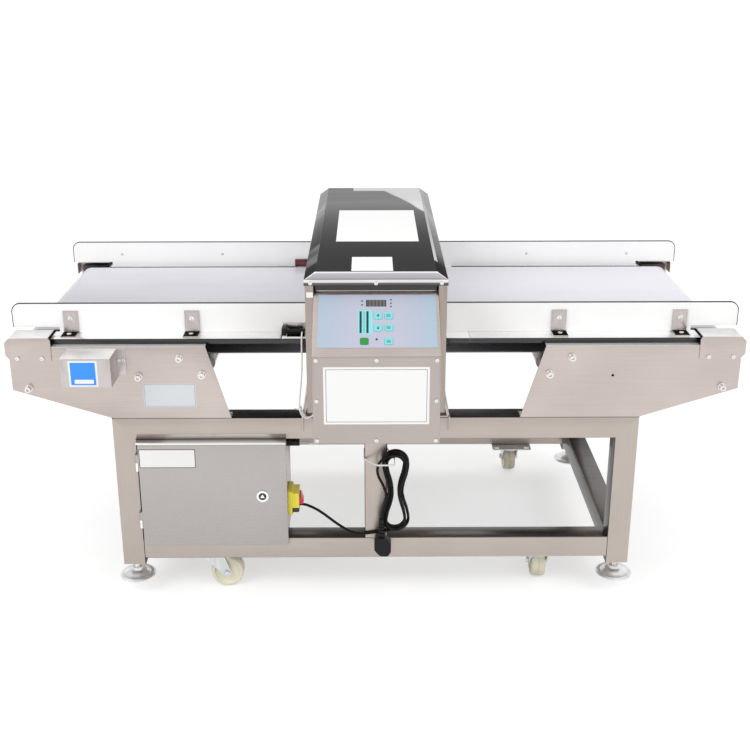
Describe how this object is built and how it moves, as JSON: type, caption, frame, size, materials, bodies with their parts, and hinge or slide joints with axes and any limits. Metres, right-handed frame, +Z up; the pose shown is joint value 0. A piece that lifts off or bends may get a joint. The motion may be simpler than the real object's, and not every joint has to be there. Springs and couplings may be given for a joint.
{
  "type": "food metal detector",
  "caption": "Belt conveyor food metal detector: square sensing head over a belt, square-tube stand with casters, control cabinet and hanked mains cord.",
  "frame": {"origin": "middle of the object's box at the floor under the caster wheels", "axes": "+X along the belt towards its tail end, +Y away from the operator, +Z up"},
  "size_m": [1.564, 0.95, 0.783],
  "materials": {
    "stainless": "brushed, warm grey",
    "bright_steel": "fine brushed, pale",
    "dark_mirror": "polished, dark reflection",
    "zinc": "zinc plated pressing",
    "wheel_nylon": "cream, moulded",
    "belt_pu": "smooth, pale lilac grey",
    "white_board": "smooth white board",
    "roller_steel": "turned and plated",
    "cast_grey": "painted casting",
    "motor_grey": "satin grey paint",
    "black_rubber": "smooth black",
    "coil_copper": "varnished winding",
    "keypad_film": "pale blue film",
    "board_green": "circuit board",
    "key_cyan": "embossed key",
    "key_green": "embossed key",
    "switch_yellow": "moulded yellow",
    "button_red": "moulded red",
    "black_plastic": "moulded black",
    "white_plastic": "white cable and tie",
    "box_paint": "satin grey",
    "foot_steel": "plated levelling foot"
  },
  "bodies": {
    "machine": {"frame_legs": "stainless", "frame_beams": "stainless", "caster_plates": "zinc", "side_plates": "stainless", "end_covers": "stainless", "bed_plates": "bright_steel", "conveyor_belt": "belt_pu", "guard_rails": "white_board", "rail_brackets": "bright_steel", "roller_bearings": "cast_grey", "gear_motor": "motor_grey", "drive_belt": "black_rubber", "head_casing": "stainless", "head_hood": "dark_mirror", "tunnel_liner": "white_board", "search_coils": "coil_copper", "head_feet": "stainless", "panel_box": "stainless", "panel_membrane": "keypad_film", "display_board": "board_green", "lower_cover": "stainless", "cabinet_body": "stainless", "cabinet_hinges": "bright_steel", "inverter": "black_plastic", "cable_glands": "black_plastic", "switch_box": "switch_yellow", "control_box": "box_paint", "photo_sensors": "black_plastic", "head_cables": "white_plastic", "cord_lead": "black_rubber", "cord_hank": "black_rubber", "cord_tie": "white_plastic", "mains_plug": "black_plastic", "fasteners": "bright_steel"},
    "foot_front_left": {"foot_front_left": "foot_steel"},
    "foot_front_right": {"foot_front_right": "foot_steel"},
    "foot_rear_left": {"foot_rear_left": "foot_steel"},
    "foot_rear_right": {"foot_rear_right": "foot_steel"},
    "fork_front_left": {"fork_front_left": "zinc"},
    "fork_front_right": {"fork_front_right": "zinc"},
    "fork_rear_left": {"fork_rear_left": "zinc"},
    "fork_rear_right": {"fork_rear_right": "zinc"},
    "wheel_front_left": {"wheel_front_left": "wheel_nylon"},
    "wheel_front_right": {"wheel_front_right": "wheel_nylon"},
    "wheel_rear_left": {"wheel_rear_left": "wheel_nylon"},
    "wheel_rear_right": {"wheel_rear_right": "wheel_nylon"},
    "key_up": {"key_up": "key_cyan"},
    "key_down": {"key_down": "key_cyan"},
    "key_menu": {"key_menu": "key_cyan"},
    "key_back": {"key_back": "key_cyan"},
    "key_enter": {"key_enter": "key_cyan"},
    "key_start": {"key_start": "key_green"},
    "drive_roller": {"drive_roller": "roller_steel"},
    "tail_roller": {"tail_roller": "roller_steel"},
    "return_roller_left": {"return_roller_left": "bright_steel"},
    "return_roller_right": {"return_roller_right": "bright_steel"},
    "motor_pulley": {"motor_pulley": "zinc"},
    "cabinet_door": {"cabinet_door": "stainless"},
    "door_lock": {"door_lock": "bright_steel"},
    "stop_button": {"stop_button": "button_red"}
  },
  "joints": [
    {"name": "foot_screw_front_left", "type": "slide", "parent": "machine", "child": "foot_front_left", "axis": [0, 0, 1], "range_m": [-0.034, 0.008]},
    {"name": "foot_screw_front_right", "type": "slide", "parent": "machine", "child": "foot_front_right", "axis": [0, 0, 1], "range_m": [-0.034, 0.008]},
    {"name": "foot_screw_rear_left", "type": "slide", "parent": "machine", "child": "foot_rear_left", "axis": [0, 0, 1], "range_m": [-0.034, 0.008]},
    {"name": "foot_screw_rear_right", "type": "slide", "parent": "machine", "child": "foot_rear_right", "axis": [0, 0, 1], "range_m": [-0.034, 0.008]},
    {"name": "swivel_front_left", "type": "hinge", "parent": "machine", "child": "fork_front_left", "pos_m": [-0.377, -0.2285, 0.08], "axis": [0, 0, 1], "continuous": true},
    {"name": "axle_front_left", "type": "hinge", "parent": "fork_front_left", "child": "wheel_front_left", "pos_m": [-0.341, -0.2285, 0.0375], "axis": [0, 1, 0], "continuous": true},
    {"name": "swivel_front_right", "type": "hinge", "parent": "machine", "child": "fork_front_right", "pos_m": [0.377, -0.2285, 0.08], "axis": [0, 0, 1], "continuous": true},
    {"name": "axle_front_right", "type": "hinge", "parent": "fork_front_right", "child": "wheel_front_right", "pos_m": [0.377, -0.1925, 0.0375], "axis": [1, 0, 0], "continuous": true},
    {"name": "swivel_rear_left", "type": "hinge", "parent": "machine", "child": "fork_rear_left", "pos_m": [-0.377, 0.3435, 0.08], "axis": [0, 0, 1], "continuous": true},
    {"name": "axle_rear_left", "type": "hinge", "parent": "fork_rear_left", "child": "wheel_rear_left", "pos_m": [-0.341, 0.3435, 0.0375], "axis": [0, 1, 0], "continuous": true},
    {"name": "swivel_rear_right", "type": "hinge", "parent": "machine", "child": "fork_rear_right", "pos_m": [0.377, 0.3435, 0.08], "axis": [0, 0, 1], "continuous": true},
    {"name": "axle_rear_right", "type": "hinge", "parent": "fork_rear_right", "child": "wheel_rear_right", "pos_m": [0.377, 0.3795, 0.0375], "axis": [1, 0, 0], "continuous": true},
    {"name": "drive_spin", "type": "hinge", "parent": "machine", "child": "drive_roller", "pos_m": [-0.731, 0.0575, 0.5807], "axis": [0, 1, 0], "continuous": true},
    {"name": "tail_spin", "type": "hinge", "parent": "machine", "child": "tail_roller", "pos_m": [0.731, 0.0575, 0.5807], "axis": [0, 1, 0], "continuous": true},
    {"name": "return_spin_left", "type": "hinge", "parent": "machine", "child": "return_roller_left", "pos_m": [-0.37, 0.0575, 0.5331], "axis": [0, 1, 0], "continuous": true},
    {"name": "return_spin_right", "type": "hinge", "parent": "machine", "child": "return_roller_right", "pos_m": [0.37, 0.0575, 0.5331], "axis": [0, 1, 0], "continuous": true},
    {"name": "motor_spin", "type": "hinge", "parent": "machine", "child": "motor_pulley", "pos_m": [-0.56, 0.3135, 0.497], "axis": [0, 1, 0], "continuous": true},
    {"name": "key_travel_up", "type": "slide", "parent": "machine", "child": "key_up", "axis": [0, 0.6, -0.8], "range_m": [0, 0.0008], "stiffness_N_per_m": 200},
    {"name": "key_travel_down", "type": "slide", "parent": "machine", "child": "key_down", "axis": [0, 0.6, -0.8], "range_m": [0, 0.0008], "stiffness_N_per_m": 200},
    {"name": "key_travel_menu", "type": "slide", "parent": "machine", "child": "key_menu", "axis": [0, 0.6, -0.8], "range_m": [0, 0.0008], "stiffness_N_per_m": 200},
    {"name": "key_travel_back", "type": "slide", "parent": "machine", "child": "key_back", "axis": [0, 0.6, -0.8], "range_m": [0, 0.0008], "stiffness_N_per_m": 200},
    {"name": "key_travel_enter", "type": "slide", "parent": "machine", "child": "key_enter", "axis": [0, 0.6, -0.8], "range_m": [0, 0.0008], "stiffness_N_per_m": 200},
    {"name": "key_travel_start", "type": "slide", "parent": "machine", "child": "key_start", "axis": [0, 0.6, -0.8], "range_m": [0, 0.0008], "stiffness_N_per_m": 200},
    {"name": "door_hinge", "type": "hinge", "parent": "machine", "child": "cabinet_door", "pos_m": [-0.521, -0.277, 0.26], "axis": [0, 0, -1], "range_deg": [0, 120]},
    {"name": "lock_turn", "type": "hinge", "parent": "cabinet_door", "child": "door_lock", "pos_m": [-0.249, -0.2825, 0.2535], "axis": [0, 1, 0], "range_deg": [0, 90]},
    {"name": "stop_press", "type": "slide", "parent": "machine", "child": "stop_button", "axis": [-1, 0, 0], "range_m": [0, 0.0035], "stiffness_N_per_m": 400}
  ],
  "couplings": [
    {"joint": "tail_spin", "follows": "drive_spin", "ratio": 1},
    {"joint": "return_spin_left", "follows": "drive_spin", "ratio": -1.4368},
    {"joint": "return_spin_right", "follows": "drive_spin", "ratio": -1.4368},
    {"joint": "motor_spin", "follows": "drive_spin", "ratio": 1.1818}
  ]
}
